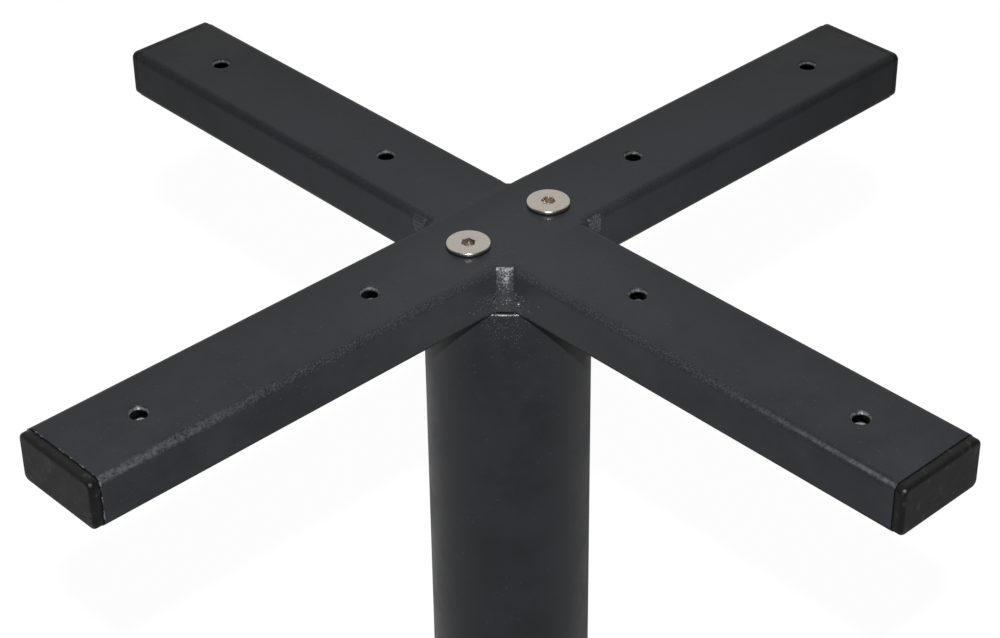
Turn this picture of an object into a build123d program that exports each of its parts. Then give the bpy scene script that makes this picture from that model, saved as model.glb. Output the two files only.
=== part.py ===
from build123d import *
import os

# Overall sizes, in millimetres. The origin is on the floor, under the column's axis.
overall_height = 720.0      # floor to the flat top of the cross
arm_span = 500.0            # tip to tip, end caps included

# Rectangular tube of the cross
tube_width = 50.0
tube_height = 25.0
tube_wall = 2.0
tube_corner = 4.0           # outside corner radius

# Holes for the screws that hold the table top
fixing_hole_diameter = 7.5
fixing_hole_lip = 1.2       # 45 degree lip on the upper side
inner_hole_gap = 43.5       # from the column's side to the inner holes
outer_hole_gap = 42.5       # from an arm's tip to its outer hole

# Weld metal between the arms and the through tube
weld_rise = 2.0             # the corner beads start this far above the tube's underside
flush_weld_leg = 5.4        # bead of the corner whose top is ground flush
low_weld_leg = 3.0          # beads of the other three corners
low_weld_drop = 4.6         # their tops slope down by this much at 45 degrees

# Moulded tube ends
cap_flange = 5.0            # thickness of the part that shows
cap_inset = 0.4             # the flange is this much smaller than the tube all round
cap_edge_radius = 1.7
cap_corner = 3.4
plug_length = 16.0
plug_gap = 1.2              # between the plug's body and the inside of the tube
plug_wall = 1.8
rib_clearance = 0.1         # between the ribs and the inside of the tube
rib_root = 1.4
rib_tip = 0.6
rib_count = 3
rib_first = 2.5             # from the flange to the first rib
rib_pitch = 4.6

# Countersunk hexagon-socket screws, thread size 10
thread_diameter = 10.0
thread_clearance = 0.1      # in the tapped holes, on the radius
shank_clearance = 0.5       # in the drilled holes, on the radius
seat_clearance = 0.05       # between a head's cone and its seat
head_diameter = 20.0
head_rim = 1.2              # from the flat top to the cone
head_edge = 0.6             # radius of the rim's upper edge
cone_angle = 90.0
socket_sides = 6
socket_flats = 6.0
socket_depth = 3.6
tip_chamfer = 1.0

# Cross screws
cross_screw_edge = 10.9     # from the rim of the column's top plate to a screw's axis
cross_screw_grip = 14.5     # length of the screw below the cross
cross_screw_stand = 2.2     # top of the head above the flat top of the cross
cross_screw_aside = 2.9     # the holes lie this far in front of the through tube's middle line
cross_screw_shift = 1.4     # both holes lie this far to the left of their even places
left_socket_turn = 10.0     # where each socket came to rest when it was tightened
right_socket_turn = 38.0

# Column
column_diameter = 78.0
column_wall = 3.0
column_edge = 0.5
plate_clearance = 0.1       # between the plates and the inside of the column
top_plate_thickness = 12.0
foot_plate_thickness = 12.0

# Disc and its screws
disc_diameter = 540.0
disc_thickness = 8.0
disc_top_edge = 2.0
disc_bottom_edge = 0.8
base_screw_edge = 12.9      # from the rim of the column's foot plate to a screw's axis
base_screw_count = 4
base_screw_grip = 12.3      # length of the screw above the disc
base_screw_recess = 0.3     # the heads lie this far inside the disc's underside

# Push-in floor glides
glide_count = 6
glide_margin = 20.0         # from the disc's edge to a glide's axis
glide_diameter = 25.0
glide_height = 3.0
glide_edge = 1.0
stem_diameter = 8.0
stem_clearance = 0.05
stem_end_gap = 0.5
stem_hole_roof = 3.0        # disc thickness left above a stem's hole

# Levels
disc_bottom = glide_height
disc_top = disc_bottom + disc_thickness
cross_top = overall_height
cross_bottom = cross_top - tube_height
cross_middle = cross_top - tube_height / 2
column_length = cross_bottom - disc_top
head_top = cross_top + cross_screw_stand

# Lengths and radii that follow from the sizes above
tube_reach = arm_span / 2 - cap_flange
column_radius = column_diameter / 2
column_bore_radius = column_radius - column_wall
plate_radius = column_bore_radius - plate_clearance
inner_hole_reach = column_radius + inner_hole_gap
outer_hole_reach = arm_span / 2 - outer_hole_gap
fixing_lip_radius = fixing_hole_diameter / 2 + fixing_hole_lip
bore_width = tube_width - 2 * tube_wall
bore_height = tube_height - 2 * tube_wall
bore_corner = tube_corner - tube_wall
thread_radius = thread_diameter / 2
head_radius = head_diameter / 2
cone_depth = head_radius - thread_radius
shank_hole_radius = thread_radius + shank_clearance
tapped_hole_radius = thread_radius + thread_clearance
cross_screw_reach = plate_radius - cross_screw_edge
cross_screw_length = cross_screw_stand + tube_height + cross_screw_grip
base_screw_reach = plate_radius - base_screw_edge
base_screw_length = disc_thickness - base_screw_recess + base_screw_grip
glide_reach = disc_diameter / 2 - glide_margin
stem_hole_depth = disc_thickness - stem_hole_roof
stem_length = stem_hole_depth - stem_end_gap

os.makedirs("parts", exist_ok=True)


def write_piece(piece, name):
    """Label a finished piece and write it to its own file."""
    piece.label = name
    export_step(piece, f"parts/{name}.step")


def arm_end(angle, reach):
    """Plane across an arm at a distance from the column's axis: local X across the arm, local Y up."""
    along = Vector(1, 0, 0).rotate(Axis.Z, angle)
    across = Vector(0, 1, 0).rotate(Axis.Z, angle)
    return Plane(origin=along * reach + Vector(0, 0, cross_middle), x_dir=across, z_dir=along)


def screw(length, socket_turn):
    """Countersunk screw with its head's top at the origin, pointing down, socket turned in degrees."""
    with BuildPart() as blank:
        with BuildSketch(Plane.XZ):
            with BuildLine():
                top = Line((0, 0), (head_radius - head_edge, 0))
                edge = TangentArc(top @ 1, (head_radius, -head_edge), tangent=top % 1)
                Polyline(
                    edge @ 1,
                    (head_radius, -head_rim),
                    (thread_radius, -head_rim - cone_depth),
                    (thread_radius, -length + tip_chamfer),
                    (thread_radius - tip_chamfer, -length),
                    (0, -length),
                    top @ 0,
                )
            make_face()
        revolve(axis=Axis.Z)
        with BuildSketch(Plane.XY):
            RegularPolygon(socket_flats / 2, socket_sides, major_radius=False, rotation=socket_turn)
        extrude(amount=-socket_depth, mode=Mode.SUBTRACT)
    return blank.part


def fixing_holes(angle):
    """Places of an arm's two table-top holes, on the flat top of the cross."""
    along = Vector(1, 0, 0).rotate(Axis.Z, angle)
    return [along * reach + Vector(0, 0, cross_top) for reach in (inner_hole_reach, outer_hole_reach)]


# Through tube of the cross, from tip to tip along X
cross_screw_places = [
    (-cross_screw_reach - cross_screw_shift, -cross_screw_aside),
    (cross_screw_reach - cross_screw_shift, -cross_screw_aside),
]
with BuildPart() as cross_tube:
    with BuildSketch(arm_end(0, -tube_reach)):
        RectangleRounded(tube_width, tube_height, tube_corner)
        RectangleRounded(bore_width, bore_height, bore_corner, mode=Mode.SUBTRACT)
    extrude(amount=2 * tube_reach)
    with Locations(*fixing_holes(0), *fixing_holes(180)):
        CounterSinkHole(fixing_hole_diameter / 2, fixing_lip_radius, counter_sink_angle=cone_angle)

    # Seats for the heads' cones, and clear holes for the shanks
    with Locations(Plane.XY.offset(head_top - head_rim)):
        with Locations(*cross_screw_places):
            CounterSinkHole(shank_hole_radius, head_radius + seat_clearance, counter_sink_angle=cone_angle)
write_piece(cross_tube.part, "cross_tube")

# Stub arms, butted against the sides of the through tube
arm_angles = {"front": -90, "back": 90}
for side, angle in arm_angles.items():
    with BuildPart() as stub_arm:
        with BuildSketch(arm_end(angle, tube_width / 2)):
            RectangleRounded(tube_width, tube_height, tube_corner)
            RectangleRounded(bore_width, bore_height, bore_corner, mode=Mode.SUBTRACT)
        extrude(amount=tube_reach - tube_width / 2)
        with Locations(*fixing_holes(angle)):
            CounterSinkHole(fixing_hole_diameter / 2, fixing_lip_radius, counter_sink_angle=cone_angle)
    write_piece(stub_arm.part, f"{side}_arm")

# Weld metal of each arm: a top seam that is ground flush, and a bead in both inner corners
flush_corner = ("front", -1)
bead_height = tube_height - weld_rise
for side, angle in arm_angles.items():
    with BuildPart() as arm_weld:
        with BuildSketch(arm_end(angle, tube_width / 2)):
            with Locations((0, tube_height / 2)):
                Rectangle(tube_width, tube_corner, align=(Align.CENTER, Align.MAX))
        extrude(amount=-tube_corner)
        for hand in (1, -1):
            corner = Vector(tube_width / 2, hand * tube_width / 2, cross_top).rotate(Axis.Z, angle)
            outward = Vector(1, hand, 0).rotate(Axis.Z, angle)
            diagonal = Plane(origin=corner, x_dir=outward, z_dir=outward.cross(Vector(0, 0, 1)))
            root = tube_corner * outward.length
            if (side, hand) == flush_corner:
                reach = flush_weld_leg / outward.length
                bead_top = [(reach, 0)]
            else:
                reach = low_weld_leg / outward.length
                bead_top = [(reach - low_weld_drop, 0), (reach, -low_weld_drop)]

                # The seam's end is rounded like the edges of the tubes
                with BuildSketch(diagonal):
                    Rectangle(tube_corner, tube_corner, align=(Align.MIN, Align.MAX))
                    with Locations((tube_corner, -tube_corner)):
                        Circle(tube_corner, mode=Mode.SUBTRACT)
                revolve(axis=Axis(corner, (0, 0, 1)), mode=Mode.SUBTRACT)
            with BuildSketch(diagonal):
                with BuildLine():
                    Polyline((-root, 0), *bead_top, (reach, -bead_height), (-root, -bead_height), close=True)
                make_face()
            extrude(amount=reach, both=True)
        with BuildSketch(arm_end(0, -tube_reach)):
            RectangleRounded(tube_width, tube_height, tube_corner)
        extrude(amount=2 * tube_reach, mode=Mode.SUBTRACT)
        with BuildSketch(arm_end(angle, tube_width / 2)):
            RectangleRounded(tube_width, tube_height, tube_corner)
        extrude(amount=tube_reach, mode=Mode.SUBTRACT)
    write_piece(arm_weld.part, f"{side}_arm_weld")

# End caps: a flange that shows, and a hollow plug with tapered ribs that grip the tube
cap_angles = {"right": 0, "back": 90, "left": 180, "front": -90}
for side, angle in cap_angles.items():
    mouth = arm_end(angle, tube_reach)
    with BuildPart() as end_cap:
        with BuildSketch(mouth):
            RectangleRounded(tube_width - 2 * cap_inset, tube_height - 2 * cap_inset, cap_corner)
        extrude(amount=cap_flange)
        fillet(end_cap.faces().sort_by(Axis(mouth.origin, mouth.z_dir))[-1].edges(), cap_edge_radius)
        with BuildSketch(mouth):
            RectangleRounded(bore_width - 2 * plug_gap, bore_height - 2 * plug_gap, bore_corner)
        extrude(amount=-plug_length)
        for rib in range(rib_count):
            rib_plane = mouth.offset(-rib_first - rib * rib_pitch)
            with BuildSketch(rib_plane):
                RectangleRounded(bore_width - 2 * plug_gap, bore_height - 2 * plug_gap, bore_corner)
            with BuildSketch(rib_plane.offset(-(rib_root - rib_tip) / 2)):
                RectangleRounded(bore_width - 2 * rib_clearance, bore_height - 2 * rib_clearance, bore_corner)
            loft()
            with BuildSketch(rib_plane.offset(-(rib_root - rib_tip) / 2)):
                RectangleRounded(bore_width - 2 * rib_clearance, bore_height - 2 * rib_clearance, bore_corner)
            extrude(amount=-rib_tip)
        with BuildSketch(mouth):
            RectangleRounded(
                bore_width - 2 * plug_gap - 2 * plug_wall,
                bore_height - 2 * plug_gap - 2 * plug_wall,
                bore_corner / 2,
            )
        extrude(amount=-plug_length, mode=Mode.SUBTRACT)
    write_piece(end_cap.part, f"{side}_end_cap")

# The two screws that hold the cross on the column
left_screw = screw(cross_screw_length, left_socket_turn)
right_screw = screw(cross_screw_length, right_socket_turn)
with BuildPart() as cross_screws:
    for (x, y), one_screw in zip(cross_screw_places, (left_screw, right_screw)):
        with Locations((x, y, head_top)):
            add(one_screw)
write_piece(cross_screws.part, "cross_screws")

# Column tube with a plate in each end
with BuildPart() as column_tube:
    with BuildSketch(Plane.XY.offset(disc_top)):
        Circle(column_radius)
        Circle(column_bore_radius, mode=Mode.SUBTRACT)
    extrude(amount=column_length)
    chamfer(column_tube.faces().sort_by(Axis.Z)[-1].outer_wire().edges(), column_edge)
write_piece(column_tube.part, "column_tube")

with BuildPart() as column_top_plate:
    with BuildSketch(Plane.XY.offset(cross_bottom)):
        Circle(plate_radius)
        with Locations(*cross_screw_places):
            Circle(tapped_hole_radius, mode=Mode.SUBTRACT)
    extrude(amount=-top_plate_thickness)
write_piece(column_top_plate.part, "column_top_plate")

with BuildPart() as column_foot_plate:
    with BuildSketch(Plane.XY.offset(disc_top)):
        Circle(plate_radius)
        with PolarLocations(base_screw_reach, base_screw_count):
            Circle(tapped_hole_radius, mode=Mode.SUBTRACT)
    extrude(amount=foot_plate_thickness)
write_piece(column_foot_plate.part, "column_foot_plate")

# Disc, with countersunk screw holes and blind glide holes on its underside
with BuildPart() as base_disc:
    with BuildSketch(Plane.XY.offset(disc_bottom)):
        Circle(disc_diameter / 2)
    extrude(amount=disc_thickness)
    fillet(base_disc.faces().sort_by(Axis.Z)[-1].edges(), disc_top_edge)
    chamfer(base_disc.faces().sort_by(Axis.Z)[0].edges(), disc_bottom_edge)
    with Locations(Plane(origin=(0, 0, disc_bottom + base_screw_recess + head_rim), z_dir=(0, 0, -1))):
        with PolarLocations(base_screw_reach, base_screw_count):
            CounterSinkHole(shank_hole_radius, head_radius + seat_clearance, counter_sink_angle=cone_angle)
    with Locations(Plane(origin=(0, 0, disc_bottom), z_dir=(0, 0, -1))):
        with PolarLocations(glide_reach, glide_count):
            Hole(stem_diameter / 2 + stem_clearance, depth=stem_hole_depth)
write_piece(base_disc.part, "base_disc")

base_screw = screw(base_screw_length, 0)
with BuildPart() as base_screws:
    with Locations(Plane(origin=(0, 0, disc_bottom + base_screw_recess), z_dir=(0, 0, -1))):
        with PolarLocations(base_screw_reach, base_screw_count):
            add(base_screw)
write_piece(base_screws.part, "base_screws")

# Floor glides, pushed into the disc
with BuildPart() as glide_blank:
    with BuildSketch(Plane.XZ):
        with BuildLine():
            Polyline(
                (0, 0),
                (glide_diameter / 2, 0),
                (glide_diameter / 2, glide_height),
                (stem_diameter / 2, glide_height),
                (stem_diameter / 2, glide_height + stem_length),
                (0, glide_height + stem_length),
                close=True,
            )
        make_face()
    revolve(axis=Axis.Z)
    fillet(glide_blank.edges().group_by(Axis.Z)[0], glide_edge)
    chamfer(glide_blank.edges().group_by(Axis.Z)[-1], glide_edge)

for number, place in enumerate(PolarLocations(glide_reach, glide_count), start=1):
    with BuildPart() as floor_glide:
        with Locations(place):
            add(glide_blank.part)
    write_piece(floor_glide.part, f"floor_glide_{number}")
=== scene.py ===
"""Finishes for the disc table base: a coated cross of tube on a round column and a flat disc."""

import math
import random

import bmesh
import bpy
from mathutils import Matrix, Vector


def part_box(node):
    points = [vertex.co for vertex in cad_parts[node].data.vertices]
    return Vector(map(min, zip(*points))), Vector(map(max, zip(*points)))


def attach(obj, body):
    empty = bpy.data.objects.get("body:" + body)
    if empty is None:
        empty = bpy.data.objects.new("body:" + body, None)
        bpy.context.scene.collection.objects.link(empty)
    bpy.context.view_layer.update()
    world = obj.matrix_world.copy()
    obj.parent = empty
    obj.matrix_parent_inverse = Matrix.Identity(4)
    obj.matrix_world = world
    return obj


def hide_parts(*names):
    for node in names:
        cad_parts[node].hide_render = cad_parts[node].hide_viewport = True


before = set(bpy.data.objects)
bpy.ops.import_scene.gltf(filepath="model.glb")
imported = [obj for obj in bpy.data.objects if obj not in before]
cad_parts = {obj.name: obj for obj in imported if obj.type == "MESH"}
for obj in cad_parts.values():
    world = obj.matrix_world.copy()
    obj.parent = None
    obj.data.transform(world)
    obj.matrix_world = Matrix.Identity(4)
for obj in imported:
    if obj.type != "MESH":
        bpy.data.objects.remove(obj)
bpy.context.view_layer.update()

MM = 0.001
QUARTER_TURN = math.pi / 2
BODY = "root"

# Places and sizes of the solids, in metres
tube_low, tube_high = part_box("cross_tube")
CROSS_TOP = tube_high.z
CROSS_UNDERSIDE = tube_low.z
CROSS_MIDDLE = (CROSS_TOP + CROSS_UNDERSIDE) / 2
TUBE_HALF_WIDTH = tube_high.y
TUBE_HALF_HEIGHT = (CROSS_TOP - CROSS_UNDERSIDE) / 2
TUBE_END = tube_high.x
TUBE_CORNER = 4 * MM
TUBE_WALL = 2 * MM
COLUMN_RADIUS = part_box("column_tube")[1].x

# Countersunk screws with a hexagon socket
cross_screw_low, cross_screw_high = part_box("cross_screws")
base_screw_low, base_screw_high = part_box("base_screws")
HEAD_RADIUS = (cross_screw_high.y - cross_screw_low.y) / 2
CROSS_SCREW_REACH = (cross_screw_high.x - cross_screw_low.x) / 2 - HEAD_RADIUS
CROSS_SCREW_SHIFT = (cross_screw_high.x + cross_screw_low.x) / 2
CROSS_SCREW_LINE = (cross_screw_high.y + cross_screw_low.y) / 2
BASE_SCREW_REACH = base_screw_high.x - HEAD_RADIUS
HEAD_RIM = 1.2 * MM
HEAD_EDGE = 0.6 * MM
HEAD_GAP = 0.4 * MM
THREAD_RADIUS = 5 * MM
THREAD_PITCH = 1.5 * MM
THREAD_DEPTH = 0.92 * MM
CONE_FOOT = HEAD_RADIUS - THREAD_RADIUS + HEAD_RIM
PLAIN_NECK = 2.2 * MM
TIP_CHAMFER = 1 * MM
SOCKET_FLATS = 6 * MM
SOCKET_DEPTH = 3.6 * MM
SOCKET_BEVEL = 0.12 * MM
LEFT_SOCKET_TURN = 10.0
RIGHT_SOCKET_TURN = 38.0
SCREW_SEGMENTS = 72
EDGE_STEPS = 5
ROWS_PER_PITCH = 6
CREASE_ANGLE = 32.0

# Rough crust on the weld beads
FRONT_CORNER = (-TUBE_HALF_WIDTH, -TUBE_HALF_WIDTH, 0.0)
FLUSH_BEAD_LEG = 5.4 * MM
FLUSH_BEAD_FLARE = 12 * MM
LOW_BEAD_LEG = 3 * MM
LOW_BEAD_FLARE = 11 * MM
LOW_BEAD_DROP = 4.6 * MM
BEAD_RISE = 2 * MM
FOOT_RISE = 0.8 * MM
CRUST_STEP = 0.3 * MM
CRUST_SUNK = 0.35 * MM
CRUST_SKIN = 0.08 * MM
FLUSH_CRUST = {"Low": CROSS_UNDERSIDE + FOOT_RISE, "High": CROSS_TOP - 0.1 * MM, "Half Width": 4.1 * MM,
               "Foot Width": 11 * MM, "Foot Height": 10 * MM, "Shoulder": 3.0, "Arch": BEAD_RISE - FOOT_RISE}
LOW_CRUST = {"Low": CROSS_UNDERSIDE + 3 * MM, "High": CROSS_TOP - 0.5 * MM, "Half Width": 10.5 * MM,
             "Foot Width": 3 * MM, "Foot Height": 17 * MM}

# Spatter beside the front bead, and flakes at the left arm's end
SPATTER_DROPS = 220
SPATTER_GAP = 4 * MM
SPATTER_SPREAD = 7 * MM
SPATTER_TOP = 13 * MM
FINEST_DROP = 0.12 * MM
COARSEST_DROP = 0.32 * MM
BIG_DROP_ASIDE = 8.6 * MM
BIG_DROP_HEIGHT = 7.7 * MM
BIG_DROP_RADIUS = 1.6 * MM
RIM_CORNER_STEPS = 6

# The photograph's frame and the camera that took it
PHOTO_WIDTH = 1000
PHOTO_HEIGHT = 638
FOCAL_PIXELS = 2551.5
CROSS_PIXEL = (506.9, 244.5)
VIEW_AZIMUTH = -43.16
VIEW_ELEVATION = 34.53
VIEW_ROLL = -0.73
VIEW_DISTANCE = 1.1632
SENSOR_WIDTH = 36.0

# Floor, room and lamp
FLOOR_HALF = 30.0
FLOOR_GREY = (0.3, 0.3, 0.3, 1.0)
FLOOR_WHITE = 0.97
FLOOR_MIRRORED = 0.46
ROOM_DARK = 0.0
ROOM_BRIGHT = 0.64
ROOM_LIGHT = 0.04
ROOM_TURN = 10.0
LAMP_AZIMUTH = -43.4
LAMP_ELEVATION = 38.2
LAMP_DISTANCE = 1.3
LAMP_SIZE = 0.03
LAMP_ENERGY = 19.5


class Graph:
    """Adds nodes to one node tree and wires them."""

    def __init__(self, tree):
        self.tree = tree

    def node(self, kind, inputs=None, **settings):
        made = self.tree.nodes.new(kind)
        for name, value in settings.items():
            setattr(made, name, value)
        for name, value in (inputs or {}).items():
            self.feed(made.inputs[name], value)
        return made

    def feed(self, socket, value):
        if isinstance(value, bpy.types.NodeSocket):
            self.tree.links.new(value, socket)
        else:
            socket.default_value = value

    def math(self, operation, first, second=0.0, third=0.0):
        made = self.node("ShaderNodeMath", operation=operation)
        for socket, value in zip(made.inputs, (first, second, third)):
            self.feed(socket, value)
        return made.outputs[0]

    def plus(self, first, second):
        return self.math("ADD", first, second)

    def minus(self, first, second):
        return self.math("SUBTRACT", first, second)

    def times(self, first, *factors):
        for factor in factors:
            first = self.math("MULTIPLY", first, factor)
        return first

    def size_of(self, value):
        return self.math("ABSOLUTE", value)

    def vector_math(self, operation, first, second=(0.0, 0.0, 0.0)):
        made = self.node("ShaderNodeVectorMath", operation=operation)
        self.feed(made.inputs[0], first)
        self.feed(made.inputs[1], second)
        return made.outputs["Value" if operation in ("LENGTH", "DOT_PRODUCT") else "Vector"]

    def distance(self, vector, point):
        return self.vector_math("LENGTH", self.vector_math("SUBTRACT", vector, point))

    def level_length(self, vector):
        """The length of a vector as seen from above."""
        return self.vector_math("LENGTH", self.vector_math("MULTIPLY", vector, (1.0, 1.0, 0.0)))

    def scaled(self, vector, factor):
        made = self.node("ShaderNodeVectorMath", {"Scale": factor}, operation="SCALE")
        self.feed(made.inputs[0], vector)
        return made.outputs["Vector"]

    def split(self, vector):
        made = self.node("ShaderNodeSeparateXYZ")
        self.feed(made.inputs[0], vector)
        return made.outputs

    def joined(self, x, y, z):
        return self.node("ShaderNodeCombineXYZ", {"X": x, "Y": y, "Z": z}).outputs[0]

    def ramp(self, value, low, high, start=0.0, end=1.0):
        """A smooth step of value from low to high, written as start to end."""
        sizes = {"Value": value, "From Min": low, "From Max": high, "To Min": start, "To Max": end}
        return self.node("ShaderNodeMapRange", sizes, interpolation_type="SMOOTHSTEP").outputs["Result"]

    def noise(self, vector, size, detail=2.0, roughness=0.5):
        scale = self.math("DIVIDE", 1.0, size)
        inputs = {"Vector": vector, "Scale": scale, "Detail": detail, "Roughness": roughness}
        return self.node("ShaderNodeTexNoise", inputs).outputs[0]

    def cells(self, vector, size):
        """Voronoi cells of a size: the distance to each cell's point, and a colour of its own."""
        scale = self.math("DIVIDE", 1.0, size)
        made = self.node("ShaderNodeTexVoronoi", {"Vector": vector, "Scale": scale})
        return made.outputs["Distance"], made.outputs["Color"]

    def blend_value(self, share, first, second):
        made = self.node("ShaderNodeMix", data_type="FLOAT")
        self.feed(made.inputs[0], share)
        self.feed(made.inputs[2], first)
        self.feed(made.inputs[3], second)
        return made.outputs[0]

    def blend(self, share, first, second):
        made = self.node("ShaderNodeMix", data_type="RGBA")
        self.feed(made.inputs[0], share)
        self.feed(made.inputs[6], first)
        self.feed(made.inputs[7], second)
        return made.outputs[2]

    def attribute(self, name, kind="FLOAT"):
        return self.node("GeometryNodeInputNamedAttribute", {"Name": name}, data_type=kind).outputs[0]

    def position(self):
        return self.node("GeometryNodeInputPosition").outputs[0]

    def chance(self, seed):
        """A random value from 0 to 1 for each point."""
        return self.node("FunctionNodeRandomValue", {"Seed": seed}, data_type="FLOAT").outputs[1]


FLOAT = "NodeSocketFloat"
VECTOR = "NodeSocketVector"
GEOMETRY = "NodeSocketGeometry"
MATERIAL = "NodeSocketMaterial"
OBJECT = "NodeSocketObject"
NUMBER_KINDS = {float: FLOAT, int: "NodeSocketInt"}


def new_group(name, kind, inputs, outputs, output_kind=FLOAT):
    """A node group's graph, inputs and outputs; an input is given by its default number or its kind."""
    tree = bpy.data.node_groups.new(name, kind)
    for socket_name, default in inputs.items():
        number_kind = NUMBER_KINDS.get(type(default))
        socket = tree.interface.new_socket(socket_name, in_out="INPUT", socket_type=number_kind or default)
        if number_kind:
            socket.default_value = default
    for socket_name in outputs:
        tree.interface.new_socket(socket_name, in_out="OUTPUT", socket_type=output_kind)
    graph = Graph(tree)
    given = graph.node("NodeGroupInput").outputs
    result = graph.node("NodeGroupOutput").inputs
    return graph, given, result


def make_powder_grain():
    """Orange peel, fine grain, slow clouding and scattered bright specks of a powder coat; the specks are
    painted glints.
    """
    sizes = {"Vector": VECTOR, "Peel Size": 2.4 * MM, "Grain Size": 0.5 * MM,
             "Cloud Size": 30 * MM, "Speck Size": 1.1 * MM, "Speck Share": 0.06}
    graph, given, result = new_group("powder_grain", "ShaderNodeTree", sizes, ("Tone", "Height", "Speck"))
    place = given["Vector"]
    peel = graph.noise(place, given["Peel Size"], detail=1.0)
    grain = graph.noise(place, given["Grain Size"], detail=2.0, roughness=0.6)
    cloud = graph.ramp(graph.noise(place, given["Cloud Size"], detail=5.0, roughness=0.7), 0.3, 0.7)
    distance, colour = graph.cells(place, given["Speck Size"])
    # Specks: bright spots painted as glints of the coat's grain, also raised a little in the relief.
    chosen = graph.math("LESS_THAN", graph.split(colour)[0], given["Speck Share"])
    speck = graph.times(chosen, graph.ramp(distance, 0.30, 0.12))
    relief = graph.plus(graph.times(peel, 0.7), graph.times(grain, 0.5))
    graph.feed(result["Tone"], graph.plus(graph.times(cloud, 0.6), graph.times(grain, 0.4)))
    graph.feed(result["Height"], graph.plus(relief, speck))
    graph.feed(result["Speck"], speck)
    return graph.tree


def make_tube_section():
    """Masks in the section of a tube along X: rounded edges, their ridge, lips of holes, inner walls."""
    sizes = {"Vector": VECTOR, "Half Width": TUBE_HALF_WIDTH, "Half Height": TUBE_HALF_HEIGHT,
             "Middle": CROSS_MIDDLE, "Corner": TUBE_CORNER, "Skin": 0.1 * MM}
    masks = ("Edge", "Ridge", "Lip", "Inside", "Floor")
    graph, given, result = new_group("tube_section", "ShaderNodeTree", sizes, masks)
    corner, skin = given["Corner"], given["Skin"]
    _, across, height = graph.split(given["Vector"])
    from_side = graph.minus(given["Half Width"], graph.size_of(across))
    from_top = graph.minus(given["Half Height"], graph.size_of(graph.minus(height, given["Middle"])))
    outer = graph.times(corner, 1.1)
    half = graph.times(corner, 0.5)
    edge = graph.times(graph.ramp(from_side, outer, half), graph.ramp(from_top, outer, half))
    lean = graph.size_of(graph.minus(from_side, from_top))
    ridge = graph.ramp(lean, graph.times(corner, 0.45), graph.times(corner, 0.12))
    past_side = graph.minus(corner, from_side)
    past_top = graph.minus(corner, from_top)
    past = graph.joined(graph.math("MAXIMUM", past_side, 0.0), graph.math("MAXIMUM", past_top, 0.0), 0.0)
    deeper = graph.math("MINIMUM", graph.math("MAXIMUM", past_side, past_top), 0.0)
    depth = graph.minus(graph.minus(corner, graph.vector_math("LENGTH", past)), deeper)
    ragged = graph.times(graph.noise(given["Vector"], 0.8 * MM), 0.5 * MM)
    lip = graph.ramp(graph.minus(depth, ragged), skin, graph.plus(skin, 0.2 * MM))
    below = graph.minus(given["Middle"], height)
    floor = TUBE_HALF_HEIGHT - TUBE_WALL
    graph.feed(result["Edge"], edge)
    graph.feed(result["Ridge"], graph.times(ridge, edge))
    graph.feed(result["Lip"], lip)
    graph.feed(result["Inside"], graph.ramp(depth, TUBE_WALL * 0.6, TUBE_WALL * 0.75))
    graph.feed(result["Floor"], graph.ramp(below, floor - 0.8 * MM, floor - 0.2 * MM))
    return graph.tree


def make_tumbled_metal():
    """Fine tumbling marks and small pits of a steel screw."""
    sizes = {"Vector": VECTOR, "Mark Size": 0.5 * MM, "Pit Size": 1.2 * MM}
    graph, given, result = new_group("tumbled_metal", "ShaderNodeTree", sizes, ("Tone", "Height", "Pit"))
    place = given["Vector"]
    marks = graph.noise(place, given["Mark Size"], detail=3.0, roughness=0.65)
    painted_glow = graph.noise(place, graph.times(given["Mark Size"], 9.0), detail=2.0)
    distance, colour = graph.cells(place, given["Pit Size"])
    chosen = graph.math("LESS_THAN", graph.split(colour)[1], 0.22)
    pit = graph.times(chosen, graph.ramp(distance, 0.28, 0.1))
    graph.feed(result["Tone"], graph.plus(graph.times(marks, 0.6), graph.times(painted_glow, 0.4)))
    graph.feed(result["Height"], graph.minus(marks, pit))
    graph.feed(result["Pit"], pit)
    return graph.tree


POWDER_GRAIN = make_powder_grain()
TUBE_SECTION = make_tube_section()
TUMBLED_METAL = make_tumbled_metal()

COAT_GLOSS = 0.2
COLUMN_GLOSS = 0.31
PLASTIC_GLOSS = 0.21
PLAIN_GLOSS = 0.5
DROP_GLOSS = 0.8
COAT_DARK = (0.0172, 0.0184, 0.0220, 1.0)
COAT_LIGHT = (0.0350, 0.0373, 0.0440, 1.0)
# Painted shade: a darker coat for the backs, rounded edges, far sides and far tips of the arms.
SHADE_GREY = (0.0130, 0.0138, 0.0155, 1.0)
# Pale grey: sandy edges with painted glints, painted light near the front corner, and the large drop.
PALE_GREY = (0.072, 0.076, 0.084, 1.0)
# Pale grey of wear and painted highlight on the rounded edges near the ends.
WORN_AND_LIT_GREY = (0.092, 0.097, 0.107, 1.0)
# Pale grey of painted glint specks on the coat, and of chipped coat where it broke.
SPECK_GREY = (0.13, 0.14, 0.15, 1.0)
# Pale grey of grit and painted glint specks on the column.
GRIT_AND_GLINT_GREY = (0.24, 0.25, 0.27, 1.0)
# Pale grey of thin coat on weld peaks, also used for painted highlights and glints on the beads.
CRUST_AND_HIGHLIGHT_GREY = (0.46, 0.48, 0.50, 1.0)
LIP_DULL = (0.045, 0.047, 0.05, 1.0)
LIP_GREY = (0.16, 0.165, 0.17, 1.0)
BARE_STEEL = (0.45, 0.44, 0.42, 1.0)
# Painted shade: near black, for the tube's inner walls, the ring under each screw head and the darker column.
SHADE_BLACK = (0.012, 0.012, 0.012, 1.0)
SMUDGE_GREY = (0.045, 0.044, 0.043, 1.0)


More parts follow.
